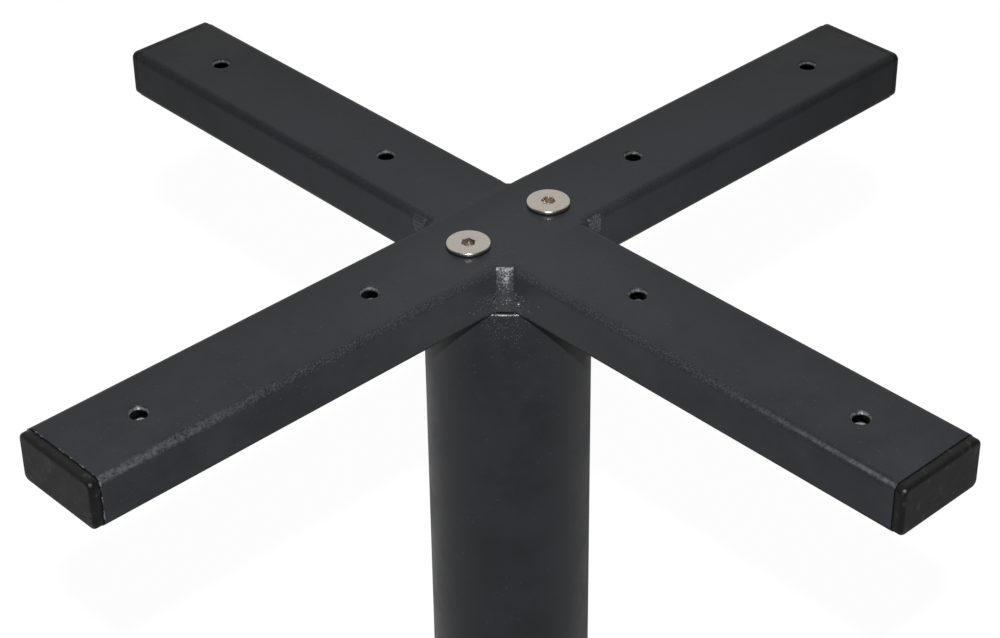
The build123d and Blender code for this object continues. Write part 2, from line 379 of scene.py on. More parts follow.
def new_material(name):
    """A material with a Principled shader, its graph and its Object coordinates."""
    made = bpy.data.materials.new(name)
    made.use_nodes = True
    graph = Graph(made.node_tree)
    shader = made.node_tree.nodes["Principled BSDF"]
    place = graph.node("ShaderNodeTexCoord").outputs["Object"]
    return made, graph, shader, place


def group_node(graph, tree, inputs):
    return graph.node("ShaderNodeGroup", inputs, node_tree=tree).outputs


def shade(graph, shader, colour, roughness, gloss=PLAIN_GLOSS, metallic=0.0):
    """Sends a colour, a roughness and a share of bare metal to a shader, and sets its gloss."""
    graph.feed(shader.inputs["Base Color"], colour)
    graph.feed(shader.inputs["Roughness"], roughness)
    graph.feed(shader.inputs["Metallic"], metallic)
    shader.inputs["Specular IOR Level"].default_value = gloss


def bumped(graph, shader, height, depth, rounding=0.0):
    """Sends a height to a shader's normal, as relief of a depth in metres, on edges that may look rounder."""
    bump = graph.node("ShaderNodeBump", {"Height": height, "Distance": depth})
    if rounding:
        rounded = graph.node("ShaderNodeBevel", {"Radius": rounding}, samples=6)
        graph.feed(bump.inputs["Normal"], rounded.outputs[0])
    graph.feed(shader.inputs["Normal"], bump.outputs["Normal"])


def coat_skin(graph, place, speck_share, speck_size=1.1 * MM, speck_colour=SPECK_GREY):
    """Colour, relief and tone of the satin black powder coat, with its specks painted pale as glints."""
    sizes = {"Vector": place, "Speck Share": speck_share, "Speck Size": speck_size}
    coat = group_node(graph, POWDER_GRAIN, sizes)
    skin = graph.blend(coat["Tone"], COAT_DARK, COAT_LIGHT)
    # Painted glints: the specks are blended to a pale grey.
    skin = graph.blend(graph.times(coat["Speck"], 0.75), skin, speck_colour)
    return skin, coat["Height"], coat["Tone"]


def finish_coat(graph, shader, colour, height, tone, metallic=0.0, gloss=COAT_GLOSS):
    """Sends a coat's colour, relief and roughness to its shader."""
    shade(graph, shader, colour, graph.ramp(tone, 0.3, 0.7, 0.36, 0.44), gloss, metallic)
    bumped(graph, shader, height, 0.05 * MM)


def from_front_corner(graph, place):
    """How far a place lies, seen from above, from the inner corner between the left and the front arm."""
    return graph.level_length(graph.vector_math("SUBTRACT", place, FRONT_CORNER))


def to_the_front(graph, place):
    """How far a place lies to the front, between the left and the front arm; below zero at the back."""
    return graph.vector_math("DOT_PRODUCT", place, (-1.0, -1.0, 0.0))


def painted_light_and_shade(graph, place, skin):
    """Painted light and shade on the coat: paler around the front corner of the cross, and darker towards the
    far tips.
    """
    painted_glow = graph.ramp(from_front_corner(graph, place), 120 * MM, 10 * MM, 0.0, 0.22)
    skin = graph.blend(painted_glow, skin, PALE_GREY)
    return graph.blend(graph.ramp(to_the_front(graph, place), -90 * MM, -260 * MM), skin, SHADE_GREY)


def painted_side_shade(graph, skin, edge, across, front, far_edge_shade):
    """A tube's coat with painted shade: darker towards its back, on its rounded edges and on the sides of the
    far arms.
    """
    skin = graph.blend(graph.ramp(across, -5 * MM, TUBE_HALF_WIDTH, 0.0, 0.3), skin, SHADE_GREY)
    rounded = graph.times(edge, graph.ramp(front, -60 * MM, 60 * MM, far_edge_shade, 0.4))
    skin = graph.blend(rounded, skin, SHADE_GREY)
    side = graph.ramp(across, 1 * MM - TUBE_HALF_WIDTH, -TUBE_HALF_WIDTH)
    far_side = graph.times(side, graph.ramp(front, -60 * MM, -220 * MM, 0.0, 0.75))
    return graph.blend(far_side, skin, SHADE_GREY)


def worn_and_lit_edges(graph, skin, place, section, near, worn_and_lit, lit_worn_line):
    """A tube's coat, sandy on its edges with paler sand as painted glints, and pale on its rounded edges
    towards the end as wear and painted highlight; gives the sand as well.
    """
    sand_and_glint = graph.ramp(graph.noise(place, 0.7 * MM, detail=2.0, roughness=0.7), 0.46, 0.70)
    kept = graph.math("MULTIPLY_ADD", worn_and_lit, -0.8 * lit_worn_line, 1.0)
    sand_and_glint = graph.times(sand_and_glint, near, section["Edge"], kept)
    # Painted glints: the sand on the edges is paler, more towards the front.
    skin = graph.blend(graph.times(sand_and_glint, 0.8), skin, PALE_GREY)
    cloud = graph.ramp(graph.noise(place, 1.8 * MM, detail=4.0, roughness=0.7), 0.36, 0.64)
    broad = graph.times(cloud, 0.8, graph.math("POWER", section["Edge"], 3.5))
    line = graph.times(section["Ridge"], graph.math("MULTIPLY_ADD", cloud, 0.7, 0.3))
    # Wear and painted highlight: pale on the rounded edges, or as a thin line on their ridge.
    rubbed = graph.times(worn_and_lit, graph.blend_value(lit_worn_line, broad, line))
    return graph.blend(rubbed, skin, WORN_AND_LIT_GREY), sand_and_glint


def bare_holes(graph, skin, place, section):
    """A tube's coat that ends in ragged lips at the holes, with bare steel on the tube's inner floor and
    painted shade, near black, on its other inner walls.
    """
    mottle = graph.ramp(graph.noise(place, 0.9 * MM, detail=2.0), 0.35, 0.65)
    lip = graph.blend(mottle, LIP_DULL, LIP_GREY)
    # Painted shade: the inner walls are near black, except the inner floor, which is bare steel.
    steel = graph.blend(section["Floor"], SHADE_BLACK, BARE_STEEL)
    steel = graph.blend(section["Inside"], lip, steel)
    return graph.blend(section["Lip"], skin, steel)


def screw_rings(graph, skin, place):
    """A tube's coat with a painted shadow ring under each screw head."""
    for side in (-1, 1):
        screw = (CROSS_SCREW_SHIFT + side * CROSS_SCREW_REACH, CROSS_SCREW_LINE, CROSS_TOP)
        shade_ring = graph.ramp(graph.distance(place, screw), HEAD_RADIUS + HEAD_GAP, HEAD_RADIUS)
        # Painted shadow just outside each head's rim.
        skin = graph.blend(shade_ring, skin, SHADE_BLACK)
    return skin


def tube_coat(name, turn, lit_worn_end, lit_worn_line, far_edge_shade):
    """Coat of a tube turned about Z from lying along X, worn and painted with a highlight at its end on the
    side that lit_worn_end gives.

    The wear and painted highlight are broad and ragged where lit_worn_line is 0, and a thin line where it is
    1.
    far_edge_shade is how dark the painted shade on the rounded edges of the far arm is.
    """
    made, graph, shader, place = new_material(name)
    turned = graph.node("ShaderNodeMapping", {"Vector": place, "Rotation": (0.0, 0.0, turn)}).outputs[0]
    section = group_node(graph, TUBE_SECTION, {"Vector": turned})
    along, across, _ = graph.split(turned)
    front = to_the_front(graph, place)
    near = graph.ramp(front, -60 * MM, 60 * MM, 0.3, 1.0)
    # Share of specks: painted glints, more on rounded edges and towards the front, and grit close to the
    # front corner.
    grit_and_glints = graph.math("MULTIPLY_ADD", section["Edge"], 0.10, graph.times(near, 0.03))
    grit_and_glints = graph.plus(graph.ramp(from_front_corner(graph, place), 18 * MM, 6 * MM, 0.0, 0.75), grit_and_glints)
    skin, height, tone = coat_skin(graph, place, grit_and_glints, 0.95 * MM)
    skin = painted_light_and_shade(graph, place, skin)
    skin = painted_side_shade(graph, skin, section["Edge"], across, front, far_edge_shade)
    worn_and_lit = graph.ramp(graph.times(along, lit_worn_end), TUBE_END * 0.5, TUBE_END)
    skin, sand_and_glint = worn_and_lit_edges(graph, skin, place, section, near, worn_and_lit, lit_worn_line)
    skin = bare_holes(graph, skin, place, section)
    skin = screw_rings(graph, skin, place)
    height = graph.math("MULTIPLY_ADD", sand_and_glint, 1.6, height)
    finish_coat(graph, shader, skin, height, tone, metallic=graph.times(section["Lip"], 0.3))
    return made


def plain_coat(name, speck_share, with_painted_light=False):
    """Coat on the disc, the plates and, with the painted light and shade of the cross, on the far arm's
    seams.
    """
    made, graph, shader, place = new_material(name)
    skin, height, tone = coat_skin(graph, place, speck_share)
    # Painted light near the front corner and painted shade towards the far tips.
    if with_painted_light:
        skin = painted_light_and_shade(graph, place, skin)
    finish_coat(graph, shader, skin, height, tone)
    return made


def front_seam_coat():
    """Coat on the front arm's seams, with a painted highlight on the upper edge of the bead."""
    made, graph, shader, place = new_material("front_seam_coat")
    skin, height, tone = coat_skin(graph, place, 0.02)
    skin = painted_light_and_shade(graph, place, skin)
    bead_front = 2 * TUBE_HALF_WIDTH + FLUSH_BEAD_LEG
    edge = graph.ramp(to_the_front(graph, place), bead_front - 2.4 * MM, bead_front - 1.2 * MM)
    high = graph.ramp(graph.split(place)[2], CROSS_TOP - 1.5 * MM, CROSS_TOP - 0.5 * MM)
    peaks = graph.ramp(graph.noise(place, 1.0 * MM, detail=3.0, roughness=0.7), 0.40, 0.56)
    # Painted highlight along the top edge of the bead.
    skin = graph.blend(graph.times(edge, high, peaks), skin, CRUST_AND_HIGHLIGHT_GREY)
    finish_coat(graph, shader, skin, height, tone)
    return made


def column_coat():
    """Coat of the column: darker overall as painted shade, with specks of grit and painted glints under the
    cross, and worn through on its upper rim.
    """
    made, graph, shader, place = new_material("column_coat")
    front = COLUMN_RADIUS / math.sqrt(2)
    # Share of specks: grit and painted glints, densest near the front of the column's top.
    spread = graph.distance(place, (-front, -front, CROSS_UNDERSIDE))
    far_grit_and_glints = graph.ramp(spread, 60 * MM, 15 * MM, 0.008, 0.045)
    near_grit_and_glints = graph.math("POWER", graph.ramp(spread, 26 * MM, 4 * MM), 2.5)
    grit_and_glints = graph.plus(far_grit_and_glints, near_grit_and_glints)
    skin, height, tone = coat_skin(graph, place, grit_and_glints, 0.85 * MM, GRIT_AND_GLINT_GREY)
    # Painted shade: the column's coat is made darker overall than the same coat on the cross.
    skin = graph.blend(0.32, skin, SHADE_BLACK)
    top = graph.ramp(graph.split(place)[2], CROSS_UNDERSIDE - 0.6 * MM, CROSS_UNDERSIDE - 0.3 * MM)
    outside = graph.ramp(graph.level_length(place), COLUMN_RADIUS - 0.7 * MM, COLUMN_RADIUS - 0.45 * MM)
    chips = graph.ramp(graph.noise(place, 1.3 * MM, detail=3.0, roughness=0.6), 0.44, 0.54)
    skin = graph.blend(graph.times(top, outside, chips), skin, BARE_STEEL)
    finish_coat(graph, shader, skin, height, tone, gloss=COLUMN_GLOSS)
    return made


def weld_coat(name, pale, speck_share):
    """Thin coat over rough weld metal, pale on its peaks, with a painted highlight strongest high in its
    middle, and painted glints.
    """
    made, graph, shader, place = new_material(name)
    coat = group_node(graph, POWDER_GRAIN, {"Vector": place, "Speck Share": speck_share})
    peaks = graph.ramp(graph.noise(place, 0.85 * MM, detail=3.0, roughness=0.7), 0.42, 0.62)
    patchy = graph.ramp(graph.noise(place, 5 * MM, detail=2.0), 0.25, 0.7, 0.35, 1.2)
    height = graph.split(place)[2]
    # Painted highlight: paler higher up and near the bead's middle; pale sets how much.
    upper = graph.ramp(height, CROSS_MIDDLE - 1 * MM, CROSS_TOP - 1 * MM, pale * 0.14, pale * 1.2)
    aside = graph.size_of(graph.vector_math("DOT_PRODUCT", place, (0.707, -0.707, 0.0)))
    middle = graph.ramp(aside, 3.2 * MM, 0.6 * MM, 0.32, 1.0)
    skin = graph.blend(coat["Tone"], COAT_DARK, COAT_LIGHT)
    skin = graph.blend(graph.times(peaks, patchy, upper, middle), skin, CRUST_AND_HIGHLIGHT_GREY)
    # Painted glints on the specks.
    skin = graph.blend(graph.times(coat["Speck"], 0.6), skin, CRUST_AND_HIGHLIGHT_GREY)
    shade(graph, shader, skin, graph.ramp(coat["Tone"], 0.3, 0.7, 0.30, 0.42))
    bumped(graph, shader, coat["Height"], 0.12 * MM)
    return made


def flake_coat():
    """Chipped coat, pale where it broke."""
    made, graph, shader, place = new_material("flake_coat")
    broken = graph.ramp(graph.noise(place, 1.5 * MM, detail=3.0, roughness=0.7), 0.35, 0.65)
    colour = graph.blend(broken, COAT_LIGHT, SPECK_GREY)
    shade(graph, shader, colour, graph.ramp(broken, 0.0, 1.0, 0.3, 0.5))
    bumped(graph, shader, broken, 0.05 * MM)
    return made


def drop_coat():
    """Thin coat over a large round drop of weld metal."""
    made, graph, shader, place = new_material("drop_coat")
    coat = group_node(graph, POWDER_GRAIN, {"Vector": place})
    colour = graph.blend(coat["Tone"], COAT_LIGHT, PALE_GREY)
    shade(graph, shader, colour, graph.ramp(coat["Tone"], 0.3, 0.7, 0.26, 0.34), DROP_GLOSS)
    bumped(graph, shader, coat["Height"], 0.03 * MM)
    return made


def moulded_plastic(name, dark, light, roughness):
    """Matt black moulded plastic with a fine texture, flow marks, faint smudges and rubbed corners."""
    made, graph, shader, place = new_material(name)
    fine = graph.noise(place, 0.35 * MM, detail=2.0, roughness=0.6)
    flow = graph.noise(place, 7 * MM, detail=4.0, roughness=0.6)
    smudge = graph.ramp(graph.noise(place, 4 * MM, detail=3.0, roughness=0.6), 0.58, 0.70, 0.0, 0.6)
    colour = graph.blend(smudge, graph.blend(flow, dark, light), SMUDGE_GREY)
    x, y, z = graph.split(place)
    across = graph.math("MINIMUM", graph.size_of(x), graph.size_of(y))
    up = graph.size_of(graph.minus(z, CROSS_MIDDLE))
    rubbed = graph.times(graph.ramp(across, TUBE_HALF_WIDTH - 9 * MM, TUBE_HALF_WIDTH - 1 * MM),
                         graph.ramp(up, TUBE_HALF_HEIGHT - 8 * MM, TUBE_HALF_HEIGHT - 1 * MM))
    matt = graph.ramp(flow, 0.25, 0.75, roughness - 0.05, roughness + 0.06)
    relief = graph.math("MULTIPLY_ADD", graph.ramp(flow, 0.56, 0.64), 0.8, fine)
    shade(graph, shader, colour, graph.blend_value(rubbed, matt, roughness - 0.15), PLASTIC_GLOSS)
    bumped(graph, shader, relief, 0.006 * MM, rounding=2.2 * MM)
    return made


def screw_steel(name, dull, bright, roughness):
    """Tumbled steel of a screw, darker in its pits."""
    made, graph, shader, place = new_material(name)
    metal = group_node(graph, TUMBLED_METAL, {"Vector": place})
    pitted = (*(0.55 * part for part in dull[:3]), 1.0)
    colour = graph.blend(metal["Pit"], graph.blend(metal["Tone"], dull, bright), pitted)
    marks = graph.ramp(metal["Tone"], 0.3, 0.7, roughness - 0.06, roughness + 0.06)
    shade(graph, shader, colour, marks, metallic=1.0)
    bumped(graph, shader, metal["Height"], 0.02 * MM)
    return made


STUB_ARM_COAT = tube_coat("stub_arm_coat", QUARTER_TURN, lit_worn_end=1.0, lit_worn_line=1.0, far_edge_shade=0.9)
PLATE_COAT = plain_coat("plate_coat", 0.03)
CAP_PLASTIC = moulded_plastic("cap_plastic", (0.0035, 0.0035, 0.0034, 1), (0.0120, 0.0120, 0.0117, 1), 0.44)
GLIDE_PLASTIC = moulded_plastic("glide_plastic", (0.010, 0.010, 0.010, 1), (0.018, 0.018, 0.018, 1), 0.48)
NODE_FINISHES = {
    "cross_tube": tube_coat("cross_tube_coat", 0.0, lit_worn_end=-1.0, lit_worn_line=0.0, far_edge_shade=0.5),
    "front_arm": STUB_ARM_COAT,
    "back_arm": STUB_ARM_COAT,
    "front_arm_weld": front_seam_coat(),
    "back_arm_weld": plain_coat("back_seam_coat", 0.02, with_painted_light=True),
    "column_tube": column_coat(),
    "column_top_plate": PLATE_COAT,
    "column_foot_plate": PLATE_COAT,
    "base_disc": plain_coat("disc_coat", 0.03),
    **{f"{side}_end_cap": CAP_PLASTIC for side in ("left", "right", "front", "back")},
    **{f"floor_glide_{number}": GLIDE_PLASTIC for number in range(1, 7)},
}
for node, material in NODE_FINISHES.items():
    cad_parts[node].data.materials.clear()
    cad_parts[node].data.materials.append(material)

# Copies of one weld coat with more or less painted highlight: most on the front bead, less on the right one,
# least on the others.
LIT_WELD = weld_coat("lit_weld_coat", pale=0.95, speck_share=0.30)
RIGHT_WELD = weld_coat("right_weld_coat", pale=0.6, speck_share=0.06)
SHADED_WELD = weld_coat("shaded_weld_coat", pale=0.05, speck_share=0.06)
FLAKE_COAT = flake_coat()
DROP_COAT = drop_coat()
STAINLESS = screw_steel("stainless_steel", (0.56, 0.505, 0.45, 1.0), (0.80, 0.74, 0.68, 1.0), 0.28)
ZINC = screw_steel("zinc_steel", (0.48, 0.49, 0.50, 1.0), (0.70, 0.71, 0.72, 1.0), 0.34)


def new_piece(name, mesh):
    made = bpy.data.objects.new(name, mesh)
    bpy.context.scene.collection.objects.link(made)
    return made


def new_mesh(name, points, edges=(), faces=()):
    mesh = bpy.data.meshes.new(name)
    mesh.from_pydata(points, edges, faces)
    return mesh


def store(mesh, name, kind, values):
    """Stores a value, or a vector in a flat list, for each point of a mesh."""
    field = "vector" if kind == "FLOAT_VECTOR" else "value"
    mesh.attributes.new(name, kind, "POINT").data.foreach_set(field, values)


def flat_list(vectors):
    return [part for vector in vectors for part in vector]


def grown_piece(name, mesh, tree, inputs):
    """A piece with the plain mesh that a Geometry Nodes tree makes of the one given."""
    piece = new_piece(name, mesh)
    modifier = piece.modifiers.new("growth", "NODES")
    modifier.node_group = tree
    for item in tree.interface.items_tree:
        if item.item_type == "SOCKET" and item.in_out == "INPUT" and item.name in inputs:
            modifier[item.identifier] = inputs[item.name]
    graph = bpy.context.evaluated_depsgraph_get()
    grown = bpy.data.meshes.new_from_object(piece.evaluated_get(graph), depsgraph=graph)
    piece.modifiers.clear()
    piece.data = grown
    return piece


def coated_piece(name, mesh, tree, inputs):
    """A grown piece that rides with the body."""
    piece = grown_piece(name, mesh, tree, inputs)
    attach(piece, BODY)


def new_tree(name, sizes):
    """A Geometry Nodes tree that takes a geometry, its sizes and a material."""
    inputs = {"Geometry": GEOMETRY, **sizes, "Material": MATERIAL}
    return new_group(name, "GeometryNodeTree", inputs, ["Geometry"], GEOMETRY)


def finished_tree(graph, given, result, geometry):
    """Ends a Geometry Nodes tree: its instances are made real and get their material."""
    whole = graph.node("GeometryNodeRealizeInstances", {"Geometry": geometry}).outputs[0]
    painted = graph.node("GeometryNodeSetMaterial", {"Geometry": whole, "Material": given["Material"]})
    graph.feed(result["Geometry"], painted.outputs[0])
    return graph.tree


def make_crust_tree():
    """Lifts a sheet on weld metal into a ragged patch of ripples and grit; the rest sinks out of sight."""
    sizes = {"Low": 0.0, "High": 0.0, "Half Width": 4 * MM, "Foot Width": 8 * MM, "Foot Height": 9 * MM,
             "Bead": 3.6 * MM, "Shoulder": 0.0, "Arch": 0.0, "Ripple Pitch": 2.3 * MM,
             "Ripple Height": 0.07 * MM, "Grit Size": 0.8 * MM, "Grit Height": 0.34 * MM}
    graph, given, result = new_tree("weld_crust", sizes)
    place = graph.position()
    height = graph.split(place)[2]
    outward = graph.attribute("outward", "FLOAT_VECTOR")
    aside = graph.size_of(graph.attribute("aside"))
    beside = graph.math("MAXIMUM", graph.minus(aside, given["Bead"]), 0.0)
    above = graph.minus(height, given["Low"])
    half = graph.ramp(above, given["Foot Height"], 0.0, given["Half Width"], given["Foot Width"])
    above = graph.minus(above, graph.ramp(beside, 0.0, 2 * MM, given["Arch"], 0.0))
    below = graph.minus(graph.minus(given["High"], height), graph.times(beside, given["Shoulder"]))
    inside = graph.math("MINIMUM", graph.minus(half, aside), graph.math("MINIMUM", above, below))
    frayed = graph.times(graph.minus(graph.noise(place, 2.2 * MM, detail=3.0), 0.5), 2.4 * MM)
    frayed = graph.times(frayed, graph.ramp(below, 1 * MM, 7 * MM, 0.3, 1.0))
    patch = graph.ramp(graph.plus(inside, frayed), -0.3 * MM, 0.9 * MM)
    wander = graph.times(graph.noise(place, 4 * MM, detail=2.0), 3 * MM)
    phase = graph.math("DIVIDE", graph.plus(height, wander), given["Ripple Pitch"])
    ripple = graph.times(graph.math("SINE", graph.times(phase, math.tau)), given["Ripple Height"])
    grit = graph.minus(graph.noise(place, given["Grit Size"], detail=3.0, roughness=0.62), 0.42)
    relief = graph.math("MULTIPLY_ADD", grit, graph.times(given["Grit Height"], 2.0), ripple)
    lift = graph.times(patch, graph.plus(relief, CRUST_SUNK + CRUST_SKIN))
    offset = graph.scaled(outward, graph.minus(lift, CRUST_SUNK))
    moved = graph.node("GeometryNodeSetPosition", {"Geometry": given["Geometry"], "Offset": offset})
    smooth = graph.node("GeometryNodeSetShadeSmooth", {"Geometry": moved.outputs[0]})
    return finished_tree(graph, given, result, smooth.outputs[0])


def make_drop_tree():
    """Puts a round drop at each given point, of the size that the point holds."""
    graph, given, result = new_tree("weld_drops", {"Roundness": 1})
    size = graph.attribute("size")
    ball = graph.node("GeometryNodeMeshIcoSphere", {"Radius": 1.0, "Subdivisions": given["Roundness"]})
    drop = graph.node("GeometryNodeSetShadeSmooth", {"Geometry": ball.outputs[0]})
    placed = graph.node("GeometryNodeInstanceOnPoints",
                        {"Points": given["Geometry"], "Instance": drop.outputs[0],
                         "Scale": graph.joined(size, size, size)})
    return finished_tree(graph, given, result, placed.outputs[0])


def make_flake_tree():
    """Scatters small flakes in clumps along the edges of a mesh, each of its own size."""
    sizes = {"Spacing": 0.7 * MM, "Share": 0.6, "Length": 0.9 * MM, "Thickness": 0.42 * MM, "Seed": 1}
    graph, given, result = new_tree("edge_flakes", sizes)
    seed = given["Seed"]
    path = graph.node("GeometryNodeMeshToCurve", {"Mesh": given["Geometry"]}).outputs[0]
    spaced = {"Curve": path, "Length": given["Spacing"]}
    spots = graph.node("GeometryNodeCurveToPoints", spaced, mode="LENGTH").outputs
    clump = graph.ramp(graph.noise(graph.position(), 6 * MM, detail=2.0), 0.46, 0.62)
    chosen = graph.math("LESS_THAN", graph.chance(seed), graph.times(given["Share"], clump))
    grown = graph.math("MULTIPLY_ADD", graph.chance(graph.plus(seed, 1.0)), 1.2, 0.2)
    length = graph.times(given["Length"], grown)
    swollen = graph.math("MULTIPLY_ADD", graph.chance(graph.plus(seed, 2.0)), 1.0, 0.2)
    thick = graph.times(given["Thickness"], swollen)
    flake = graph.node("GeometryNodeMeshIcoSphere", {"Radius": 1.0, "Subdivisions": 1}).outputs[0]
    placed = graph.node("GeometryNodeInstanceOnPoints",
                        {"Points": spots["Points"], "Selection": chosen, "Instance": flake,
                         "Rotation": spots["Rotation"], "Scale": graph.joined(thick, thick, length)})
    return finished_tree(graph, given, result, placed.outputs[0])


def make_screw_tree():
    """Puts one screw at each of the given points, turned as its socket came to rest."""
    graph, given, result = new_tree("screw_row", {"Screw": OBJECT})
    screw = graph.node("GeometryNodeObjectInfo", {"Object": given["Screw"]}).outputs["Geometry"]
    placed = graph.node("GeometryNodeInstanceOnPoints",
                        {"Points": given["Geometry"], "Instance": screw,
                         "Rotation": graph.attribute("turn", "FLOAT_VECTOR")})
    return finished_tree(graph, given, result, placed.outputs[0])


CRUST_TREE = make_crust_tree()
DROP_TREE = make_drop_tree()
FLAKE_TREE = make_flake_tree()
SCREW_TREE = make_screw_tree()


def edge_inset(height):
    """How far the rounded edges of the tube lie inside its flat side, at a height."""
    past = max(abs(height - CROSS_MIDDLE) - (TUBE_HALF_HEIGHT - TUBE_CORNER), 0.0)
    return TUBE_CORNER - math.sqrt(max(TUBE_CORNER ** 2 - past ** 2, 0.0))


def crust_point(side_x, side_y, leg, flush, aside, height):
    """A point of a crust's sheet, aside from the bead's middle and at a height, and its outward direction."""
    to_x = Vector((side_x, 0.0))
    to_y = Vector((0.0, side_y))
    bead = leg * math.sqrt(2)
    on_bead = min(max(aside / bead + 0.5, 0.0), 1.0)
    past = max(abs(aside) - bead / 2, 0.0)
    slope = 0.0 if flush else max(height - CROSS_TOP + LOW_BEAD_DROP, 0.0)
    foot = Vector((side_x, side_y)) * TUBE_HALF_WIDTH + to_x * leg * (1 - on_bead) + to_y * leg * on_bead
    foot += (to_x if aside < 0 else to_y) * past
    outward = (to_x * on_bead + to_y * (1 - on_bead)).normalized()
    foot -= outward * (edge_inset(height) if past else slope)
    return (foot.x, foot.y, height), (outward.x, outward.y, 0.0)


def off_the_metal(height, beside):
    """Whether a face of a flush bead's sheet would hang free, past a tube's edge or under the bead."""
    if beside:
        return height > CROSS_TOP - TUBE_CORNER
    return height < CROSS_UNDERSIDE + BEAD_RISE


def crust_sheet(name, side_x, side_y, leg, flare, low, high, flush):
    """A sheet over the bead in one inner corner of the cross and the tubes' sides beside it."""
    bead = leg * math.sqrt(2)
    width = bead + 2 * flare
    columns = round(width / CRUST_STEP)
    rows = round((high - low) / CRUST_STEP)
    asides = [width * (column / columns - 0.5) for column in range(columns + 1)]
    heights = [low + (high - low) * row / rows for row in range(rows + 1)]
    wide = columns + 1
    faces = []
    for row in range(rows):
        for column in range(columns):
            beside = max(abs(asides[column]), abs(asides[column + 1])) > bead / 2
            if not (flush and off_the_metal(heights[row], beside)):
                first = row * wide + column
                faces.append((first, first + 1, first + wide + 1, first + wide))
    if side_x * side_y > 0:
        faces = [face[::-1] for face in faces]
    kept = sorted({point for face in faces for point in face})
    number = {point: place for place, point in enumerate(kept)}
    spots = [(asides[point % wide], heights[point // wide]) for point in kept]
    points, outwards = zip(*(crust_point(side_x, side_y, leg, flush, *spot) for spot in spots))
    mesh = new_mesh(name, points, faces=[[number[point] for point in face] for face in faces])
    store(mesh, "outward", "FLOAT_VECTOR", flat_list(outwards))
    store(mesh, "aside", "FLOAT", [aside for aside, _ in spots])
    return mesh


def weld_crust(name, side_x, side_y, leg, flare, material, sizes, flush=False):
    """Rough weld metal in one inner corner of the cross."""
    sheet = crust_sheet(name, side_x, side_y, leg, flare, sizes["Low"], sizes["High"], flush)
    coated_piece(name, sheet, CRUST_TREE, {"Material": material, **sizes})


def weld_drops(name, points, sizes, material, roundness):
    """Drops of weld metal, each at a point and of a size."""
    mesh = new_mesh(name, points)
    store(mesh, "size", "FLOAT", sizes)
    coated_piece(name, mesh, DROP_TREE, {"Material": material, "Roundness": roundness})


def weld_spatter():
    """Fine spatter on the sides of the two arms beside the front bead."""
    chance = random.Random(5)
    points, sizes = [], []
    for _ in range(SPATTER_DROPS):
        aside = -TUBE_HALF_WIDTH - SPATTER_GAP - abs(chance.gauss(0, SPATTER_SPREAD))
        height = CROSS_UNDERSIDE + chance.uniform(TUBE_CORNER, SPATTER_TOP)
        on_left_arm = chance.random() < 0.5
        x, y = (aside, -TUBE_HALF_WIDTH) if on_left_arm else (-TUBE_HALF_WIDTH, aside)
        points.append((x, y, height))
        sizes.append(chance.uniform(FINEST_DROP, COARSEST_DROP))
    weld_drops("weld_spatter", points, sizes, FLAKE_COAT, roundness=1)


def big_weld_drop():
    """One large drop on the side of the front arm."""
    place = (-TUBE_HALF_WIDTH, -TUBE_HALF_WIDTH - BIG_DROP_ASIDE, CROSS_UNDERSIDE + BIG_DROP_HEIGHT)
    weld_drops("weld_drop", [place], [BIG_DROP_RADIUS], DROP_COAT, roundness=4)


def tube_rim():
    """The outer edge of a tube's cut end, as points across and up from the tube's middle."""
    rim = []
    for quarter in range(4):
        side = 1 if quarter in (0, 3) else -1
        top = 1 if quarter < 2 else -1
        for step in range(RIM_CORNER_STEPS + 1):
            turn = QUARTER_TURN * (quarter + step / RIM_CORNER_STEPS)
            rim.append((side * (TUBE_HALF_WIDTH - TUBE_CORNER) + TUBE_CORNER * math.cos(turn),
                        top * (TUBE_HALF_HEIGHT - TUBE_CORNER) + TUBE_CORNER * math.sin(turn)))
    return rim


def end_flakes():
    """Flakes of coat that stand along the cut end of the left arm."""
    rim = tube_rim()
    points = [(-TUBE_END, -across, CROSS_MIDDLE + up) for across, up in rim]
    edges = [(step, (step + 1) % len(rim)) for step in range(len(rim))]
    path = new_mesh("tube_end_flakes", points, edges)
    coated_piece("tube_end_flakes", path, FLAKE_TREE, {"Seed": 7, "Material": FLAKE_COAT})


weld_crust("front_bead_crust", -1, -1, FLUSH_BEAD_LEG, FLUSH_BEAD_FLARE, LIT_WELD, FLUSH_CRUST, flush=True)
weld_crust("right_bead_crust", 1, -1, LOW_BEAD_LEG, LOW_BEAD_FLARE, RIGHT_WELD, LOW_CRUST)
weld_crust("left_bead_crust", -1, 1, LOW_BEAD_LEG, LOW_BEAD_FLARE, SHADED_WELD, LOW_CRUST)
weld_crust("back_bead_crust", 1, 1, LOW_BEAD_LEG, LOW_BEAD_FLARE, SHADED_WELD, LOW_CRUST)
weld_spatter()
big_weld_drop()
end_flakes()


def hexagon(angle):
    """Distance from the middle of a screw's hexagon socket to its side, at an angle."""
    sixth = math.pi / 3
    return SOCKET_FLATS / 2 / math.cos((angle + sixth / 2) % sixth - sixth / 2)


def thread_radius(angle, depth, run_in):
    """Radius of a screw's thread at an angle and a depth below the head, where run_in of it is cut."""
    phase = (depth / THREAD_PITCH + angle / math.tau) % 1.0
    groove = 1 - abs(2 * phase - 1)
    return THREAD_RADIUS - THREAD_DEPTH * run_in * groove


def ring(radius, height):
    """A ring of points round a screw's axis, with a radius that is fixed or depends on the angle."""
    points = []
    for step in range(SCREW_SEGMENTS):
        angle = math.tau * step / SCREW_SEGMENTS
        reach = radius(angle) if callable(radius) else radius
        points.append((reach * math.cos(angle), reach * math.sin(angle), height))
    return points


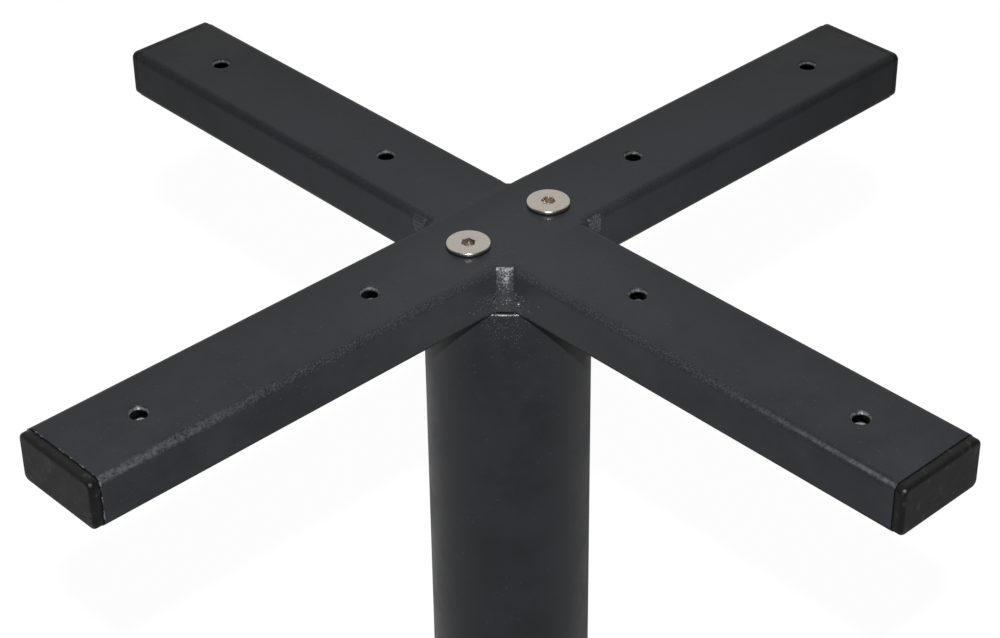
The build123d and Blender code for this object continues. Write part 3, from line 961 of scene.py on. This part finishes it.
def head_rings():
    """Rings from the floor of a screw's socket over its flat head to the foot of its cone."""
    corner = SOCKET_FLATS / math.sqrt(3)
    rings = [ring(corner * 0.15, -SOCKET_DEPTH - corner * 0.35),
             ring(hexagon, -SOCKET_DEPTH),
             ring(hexagon, -SOCKET_BEVEL * 1.6),
             ring(corner + SOCKET_BEVEL, -0.02 * MM),
             ring(corner + SOCKET_BEVEL * 1.5, 0.0)]
    for step in range(EDGE_STEPS + 1):
        turn = QUARTER_TURN * step / EDGE_STEPS
        inset = HEAD_EDGE * (1 - math.sin(turn))
        rings.append(ring(HEAD_RADIUS - inset, -HEAD_EDGE * (1 - math.cos(turn))))
    rings.append(ring(HEAD_RADIUS, -HEAD_RIM))
    rings.append(ring(THREAD_RADIUS, -CONE_FOOT))
    return rings


def shank_rings(length):
    """Rings from a screw's plain neck down its thread to its chamfered tip."""
    start = CONE_FOOT + PLAIN_NECK
    run = length - TIP_CHAMFER - start
    rows = round(run / THREAD_PITCH * ROWS_PER_PITCH)
    rings = [ring(THREAD_RADIUS, -start)]
    for row in range(1, rows + 1):
        depth = start + run * row / rows
        run_in = min(1.0, (depth - start) / THREAD_PITCH)
        rings.append(ring(lambda angle: thread_radius(angle, depth, run_in), -depth))
    rings.append(ring(THREAD_RADIUS - THREAD_DEPTH - TIP_CHAMFER * 0.3, -length))
    return rings


def screw_mesh(name, length):
    """A countersunk screw that points down from a head whose flat top is at the origin, as closed rings."""
    shape = bmesh.new()
    loops = [[shape.verts.new(point) for point in points] for points in head_rings() + shank_rings(length)]
    for upper, lower in zip(loops, loops[1:]):
        for step in range(SCREW_SEGMENTS):
            after = (step + 1) % SCREW_SEGMENTS
            shape.faces.new((upper[step], lower[step], lower[after], upper[after]))
    shape.faces.new(loops[0])
    shape.faces.new(reversed(loops[-1]))
    bmesh.ops.recalc_face_normals(shape, faces=shape.faces)
    mesh = bpy.data.meshes.new(name)
    shape.to_mesh(mesh)
    shape.free()
    mesh.polygons.foreach_set("use_smooth", [True] * len(mesh.polygons))
    mesh.set_sharp_from_angle(angle=math.radians(CREASE_ANGLE))
    return mesh


def screw_row(name, node, material, length, points, turns):
    """Threaded screws at points, each with its rotation, instead of a node's plain ones."""
    model = new_piece(f"{name}_model", screw_mesh(name, length))
    mesh = new_mesh(name, points)
    store(mesh, "turn", "FLOAT_VECTOR", flat_list(turns))
    piece = grown_piece(name, mesh, SCREW_TREE, {"Screw": model, "Material": material})
    bpy.data.objects.remove(model)
    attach(piece, BODY)
    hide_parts(node)


def cross_screws():
    """The two screws that hold the cross on the column."""
    points = [(CROSS_SCREW_SHIFT + side * CROSS_SCREW_REACH, CROSS_SCREW_LINE, cross_screw_high.z)
              for side in (-1, 1)]
    turns = [(0.0, 0.0, math.radians(turn)) for turn in (LEFT_SOCKET_TURN, RIGHT_SOCKET_TURN)]
    screw_row("cross_screw_pair", "cross_screws", STAINLESS,
              cross_screw_high.z - cross_screw_low.z, points, turns)


def base_screws():
    """The four screws that hold the disc on the column, head down."""
    angles = [QUARTER_TURN * step for step in range(4)]
    points = [(BASE_SCREW_REACH * math.cos(angle), BASE_SCREW_REACH * math.sin(angle), base_screw_low.z)
              for angle in angles]
    turns = [(math.pi, 0.0, angle) for angle in angles]
    screw_row("base_screw_ring", "base_screws", ZINC,
              base_screw_high.z - base_screw_low.z, points, turns)


cross_screws()
base_screws()


def seen_from(azimuth, elevation):
    """The direction in which a viewer at an azimuth and an elevation, in degrees, stands."""
    turn = math.radians(azimuth)
    rise = math.radians(elevation)
    return Vector((math.sin(turn) * math.cos(rise), -math.cos(turn) * math.cos(rise), math.sin(rise)))


def level_axes(azimuth):
    """Level directions of a viewer at an azimuth in degrees: to the right, and away."""
    turn = math.radians(azimuth)
    return (math.cos(turn), math.sin(turn), 0.0), (-math.sin(turn), math.cos(turn), 0.0)


def view_axes():
    """The camera's own directions: to its right, up, and back towards it."""
    roll = math.radians(VIEW_ROLL)
    back = seen_from(VIEW_AZIMUTH, VIEW_ELEVATION)
    level = Vector(level_axes(VIEW_AZIMUTH)[0])
    upright = back.cross(level)
    right = level * math.cos(roll) + upright * math.sin(roll)
    up = upright * math.cos(roll) - level * math.sin(roll)
    return right, up, back


def add_camera():
    """The camera at the photograph's angle, with the cross's middle on the same pixel."""
    right, up, back = view_axes()
    size = VIEW_DISTANCE / FOCAL_PIXELS
    aside = (CROSS_PIXEL[0] - PHOTO_WIDTH / 2) * size
    below = (CROSS_PIXEL[1] - PHOTO_HEIGHT / 2) * size
    data = bpy.data.cameras.new("camera")
    data.sensor_width = SENSOR_WIDTH
    data.lens = FOCAL_PIXELS * SENSOR_WIDTH / PHOTO_WIDTH
    camera = new_piece("camera", data)
    place = Vector((0.0, 0.0, CROSS_MIDDLE)) + back * VIEW_DISTANCE - right * aside + up * below
    turn = Matrix((right, up, back)).transposed().to_4x4()
    camera.matrix_world = Matrix.Translation(place) @ turn
    bpy.context.scene.camera = camera


def add_lamp():
    """A lamp near the camera that looks at the cross."""
    back = seen_from(LAMP_AZIMUTH, LAMP_ELEVATION)
    data = bpy.data.lights.new("key_lamp", "AREA")
    data.shape = "DISK"
    data.size = LAMP_SIZE
    data.energy = LAMP_ENERGY
    lamp = new_piece("key_lamp", data)
    lamp.location = Vector((0.0, 0.0, CROSS_MIDDLE)) + back * LAMP_DISTANCE
    lamp.rotation_mode = "QUATERNION"
    lamp.rotation_quaternion = (-back).to_track_quat("-Z", "Y")


def floor_white():
    """White to the camera; gloss on the object mirrors it darker near the camera and far to the right."""
    paint = bpy.data.materials.new("floor_white")
    paint.use_nodes = True
    paint.node_tree.nodes.clear()
    graph = Graph(paint.node_tree)
    path = graph.node("ShaderNodeLightPath").outputs
    seen = graph.math("MAXIMUM", path["Is Camera Ray"], path["Is Transmission Ray"])
    place = graph.node("ShaderNodeTexCoord").outputs["Object"]
    to_right, to_back = level_axes(VIEW_AZIMUTH)
    away = graph.vector_math("DOT_PRODUCT", place, to_back)
    right = graph.vector_math("DOT_PRODUCT", place, to_right)
    level = graph.times(graph.ramp(away, -0.9, 0.1, FLOOR_MIRRORED * 0.35, FLOOR_MIRRORED),
                        graph.ramp(right, -0.4, 0.4, 1.1, 0.92))
    far_right = graph.times(graph.ramp(away, 0.1, 0.8), graph.ramp(right, -0.1, 0.3))
    level = graph.times(level, graph.math("MULTIPLY_ADD", far_right, -0.5, 1.0))
    glow = graph.math("MAXIMUM", seen, graph.times(path["Is Glossy Ray"], level))
    lit = graph.node("ShaderNodeBsdfDiffuse", {"Color": FLOOR_GREY})
    white = graph.node("ShaderNodeEmission", {"Strength": graph.times(glow, FLOOR_WHITE)})
    shown = graph.node("ShaderNodeAddShader")
    graph.feed(shown.inputs[0], lit.outputs[0])
    graph.feed(shown.inputs[1], white.outputs[0])
    graph.node("ShaderNodeOutputMaterial", {"Surface": shown.outputs[0]})
    return paint


def add_floor():
    """A white floor that keeps the object's shadow."""
    corners = [(x * FLOOR_HALF, y * FLOOR_HALF, 0.0) for x, y in ((-1, -1), (1, -1), (1, 1), (-1, 1))]
    mesh = new_mesh("floor", corners, faces=[(0, 1, 2, 3)])
    mesh.materials.append(floor_white())
    floor = new_piece("floor", mesh)


def add_world():
    """A room that is white where the camera sees it, and darker behind the camera."""
    world = bpy.data.worlds.new("white_room")
    bpy.context.scene.world = world
    world.use_nodes = True
    graph = Graph(world.node_tree)
    path = graph.node("ShaderNodeLightPath").outputs
    seen = graph.math("MAXIMUM", path["Is Camera Ray"], path["Is Transmission Ray"])
    direction = graph.node("ShaderNodeTexCoord").outputs["Generated"]
    facing = graph.vector_math("DOT_PRODUCT", direction, level_axes(VIEW_AZIMUTH + ROOM_TURN)[1])
    room = graph.ramp(facing, -0.5, 0.7, ROOM_DARK, ROOM_BRIGHT)
    level = graph.blend_value(path["Is Glossy Ray"], graph.times(room, ROOM_LIGHT), room)
    background = world.node_tree.nodes["Background"]
    background.inputs["Color"].default_value = (1.0, 1.0, 1.0, 1.0)
    graph.feed(background.inputs["Strength"], graph.math("MAXIMUM", seen, level))


add_camera()
add_floor()
add_world()
add_lamp()
bpy.context.scene.view_settings.view_transform = "Standard"
